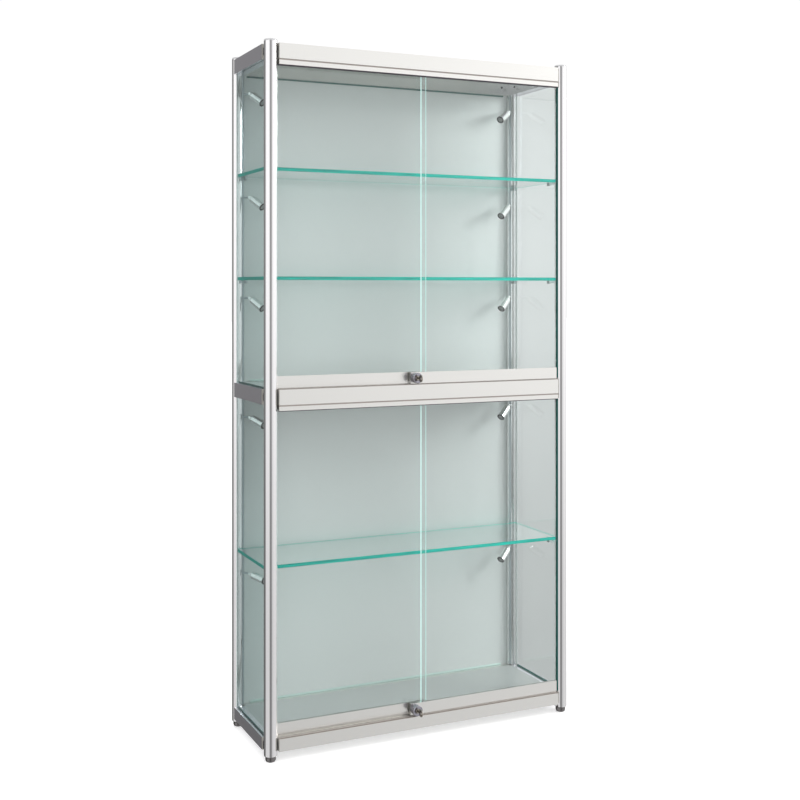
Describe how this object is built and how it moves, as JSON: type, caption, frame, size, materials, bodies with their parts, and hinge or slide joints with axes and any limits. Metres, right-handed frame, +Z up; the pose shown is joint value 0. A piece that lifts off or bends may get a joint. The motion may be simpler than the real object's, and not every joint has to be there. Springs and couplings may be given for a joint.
{
  "type": "glass display showcase",
  "caption": "Tall shop display case: silver round-post frame, white back, glass sides and shelves, small spotlights, and lockable sliding glass doors in an upper and a lower section.",
  "frame": {"origin": "on the floor, below the middle of the whole object, lock keys included", "axes": "+Z up, the doors face -Y, +X to the right of someone who faces the doors"},
  "size_m": [0.98, 0.378, 2],
  "materials": {
    "satin_aluminium": "satin anodised",
    "cap_silver": "silver-grey moulded plastic",
    "foot_black_chrome": "glossy black",
    "clear_glass": "clear polished glass, green at the edges",
    "shelf_glass": "clear polished glass, vivid green at the edges",
    "white_panel": "white melamine-faced board",
    "strip_silver": "satin",
    "lock_chrome": "polished",
    "key_nickel": "nickel plated",
    "lamp_silver": "polished"
  },
  "bodies": {
    "frame": {"base_deck": "white_panel", "cap_front_left": "cap_silver", "cap_front_right": "cap_silver", "cap_rear_left": "cap_silver", "cap_rear_right": "cap_silver", "ceiling_panel": "white_panel", "front_base_beam": "satin_aluminium", "front_middle_beam": "satin_aluminium", "front_top_beam": "satin_aluminium", "glass_shelf_1": "shelf_glass", "glass_shelf_2": "shelf_glass", "glass_shelf_3": "shelf_glass", "left_base_beam": "satin_aluminium", "left_lamp_strip": "strip_silver", "left_middle_beam": "satin_aluminium", "left_top_beam": "satin_aluminium", "lower_back_panel": "white_panel", "lower_left_side_glass": "clear_glass", "lower_right_side_glass": "clear_glass", "middle_deck": "white_panel", "rear_base_beam": "satin_aluminium", "rear_middle_beam": "satin_aluminium", "rear_top_beam": "satin_aluminium", "right_base_beam": "satin_aluminium", "right_lamp_strip": "strip_silver", "right_middle_beam": "satin_aluminium", "right_top_beam": "satin_aluminium", "upper_back_panel": "white_panel", "upper_left_side_glass": "clear_glass", "upper_right_side_glass": "clear_glass", "upright_front_left": "satin_aluminium", "upright_front_right": "satin_aluminium", "upright_rear_left": "satin_aluminium", "upright_rear_right": "satin_aluminium"},
    "upper_left_door": {"upper_left_door_glass": "clear_glass", "upper_left_door_rail": "satin_aluminium"},
    "upper_right_door": {"upper_right_door_glass": "clear_glass", "upper_right_door_rail": "satin_aluminium", "upper_lock_housing": "lock_chrome"},
    "upper_lock_plug": {"upper_lock_plug_and_key": "key_nickel"},
    "lower_left_door": {"lower_left_door_glass": "clear_glass", "lower_left_door_rail": "satin_aluminium"},
    "lower_right_door": {"lower_right_door_glass": "clear_glass", "lower_right_door_rail": "satin_aluminium", "lower_lock_housing": "lock_chrome"},
    "lower_lock_plug": {"lower_lock_plug_and_key": "key_nickel"},
    "left_lamp_head_1": {"left_lamp_1": "lamp_silver"},
    "left_lamp_head_2": {"left_lamp_2": "lamp_silver"},
    "left_lamp_head_3": {"left_lamp_3": "lamp_silver"},
    "left_lamp_head_4": {"left_lamp_4": "lamp_silver"},
    "left_lamp_head_5": {"left_lamp_5": "lamp_silver"},
    "right_lamp_head_1": {"right_lamp_1": "lamp_silver"},
    "right_lamp_head_2": {"right_lamp_2": "lamp_silver"},
    "right_lamp_head_3": {"right_lamp_3": "lamp_silver"},
    "right_lamp_head_4": {"right_lamp_4": "lamp_silver"},
    "right_lamp_head_5": {"right_lamp_5": "lamp_silver"},
    "turning_foot_front_left": {"foot_front_left": "foot_black_chrome"},
    "turning_foot_front_right": {"foot_front_right": "foot_black_chrome"},
    "turning_foot_rear_right": {"foot_rear_right": "foot_black_chrome"},
    "turning_foot_rear_left": {"foot_rear_left": "foot_black_chrome"}
  },
  "joints": [
    {"name": "upper_right_door_slide", "type": "slide", "parent": "frame", "child": "upper_right_door", "axis": [1, 0, 0], "range_m": [-0.405, 0]},
    {"name": "upper_left_door_slide", "type": "slide", "parent": "frame", "child": "upper_left_door", "axis": [1, 0, 0], "range_m": [0, 0.44]},
    {"name": "upper_lock_turn", "type": "hinge", "parent": "upper_right_door", "child": "upper_lock_plug", "pos_m": [-0.032, -0.161, 1.0481], "axis": [0, 1, 0], "range_deg": [0, 90]},
    {"name": "lower_right_door_slide", "type": "slide", "parent": "frame", "child": "lower_right_door", "axis": [1, 0, 0], "range_m": [-0.405, 0]},
    {"name": "lower_left_door_slide", "type": "slide", "parent": "frame", "child": "lower_left_door", "axis": [1, 0, 0], "range_m": [0, 0.44]},
    {"name": "lower_lock_turn", "type": "hinge", "parent": "lower_right_door", "child": "lower_lock_plug", "pos_m": [-0.032, -0.161, 0.0824], "axis": [0, 1, 0], "range_deg": [0, 90]},
    {"name": "left_lamp_1_tilt", "type": "hinge", "parent": "frame", "child": "left_lamp_head_1", "pos_m": [-0.4405, 0.139, 1.888], "axis": [0.866, 0.5, 0], "range_deg": [-32, 48]},
    {"name": "left_lamp_2_tilt", "type": "hinge", "parent": "frame", "child": "left_lamp_head_2", "pos_m": [-0.4405, 0.139, 1.58], "axis": [0.866, 0.5, 0], "range_deg": [-32, 48]},
    {"name": "left_lamp_3_tilt", "type": "hinge", "parent": "frame", "child": "left_lamp_head_3", "pos_m": [-0.4405, 0.139, 1.28], "axis": [0.866, 0.5, 0], "range_deg": [-32, 48]},
    {"name": "left_lamp_4_tilt", "type": "hinge", "parent": "frame", "child": "left_lamp_head_4", "pos_m": [-0.4405, 0.139, 0.924], "axis": [0.866, 0.5, 0], "range_deg": [-20, 60]},
    {"name": "left_lamp_5_tilt", "type": "hinge", "parent": "frame", "child": "left_lamp_head_5", "pos_m": [-0.4405, 0.139, 0.458], "axis": [0.866, 0.5, 0], "range_deg": [-12, 68]},
    {"name": "right_lamp_1_tilt", "type": "hinge", "parent": "frame", "child": "right_lamp_head_1", "pos_m": [0.4405, 0.139, 1.888], "axis": [0.454, -0.891, 0], "range_deg": [-32, 48]},
    {"name": "right_lamp_2_tilt", "type": "hinge", "parent": "frame", "child": "right_lamp_head_2", "pos_m": [0.4405, 0.139, 1.58], "axis": [0.454, -0.891, 0], "range_deg": [-39, 41]},
    {"name": "right_lamp_3_tilt", "type": "hinge", "parent": "frame", "child": "right_lamp_head_3", "pos_m": [0.4405, 0.139, 1.28], "axis": [0.454, -0.891, 0], "range_deg": [-41, 39]},
    {"name": "right_lamp_4_tilt", "type": "hinge", "parent": "frame", "child": "right_lamp_head_4", "pos_m": [0.4405, 0.139, 0.924], "axis": [0.454, -0.891, 0], "range_deg": [-38, 42]},
    {"name": "right_lamp_5_tilt", "type": "hinge", "parent": "frame", "child": "right_lamp_head_5", "pos_m": [0.4405, 0.139, 0.458], "axis": [0.454, -0.891, 0], "range_deg": [-36, 44]},
    {"name": "front_left_foot_turn", "type": "hinge", "parent": "frame", "child": "turning_foot_front_left", "pos_m": [-0.471, -0.13, 0.01], "axis": [0, 0, 1], "continuous": true},
    {"name": "front_right_foot_turn", "type": "hinge", "parent": "frame", "child": "turning_foot_front_right", "pos_m": [0.471, -0.13, 0.01], "axis": [0, 0, 1], "continuous": true},
    {"name": "rear_right_foot_turn", "type": "hinge", "parent": "frame", "child": "turning_foot_rear_right", "pos_m": [0.471, 0.17, 0.01], "axis": [0, 0, 1], "continuous": true},
    {"name": "rear_left_foot_turn", "type": "hinge", "parent": "frame", "child": "turning_foot_rear_left", "pos_m": [-0.471, 0.17, 0.01], "axis": [0, 0, 1], "continuous": true}
  ]
}
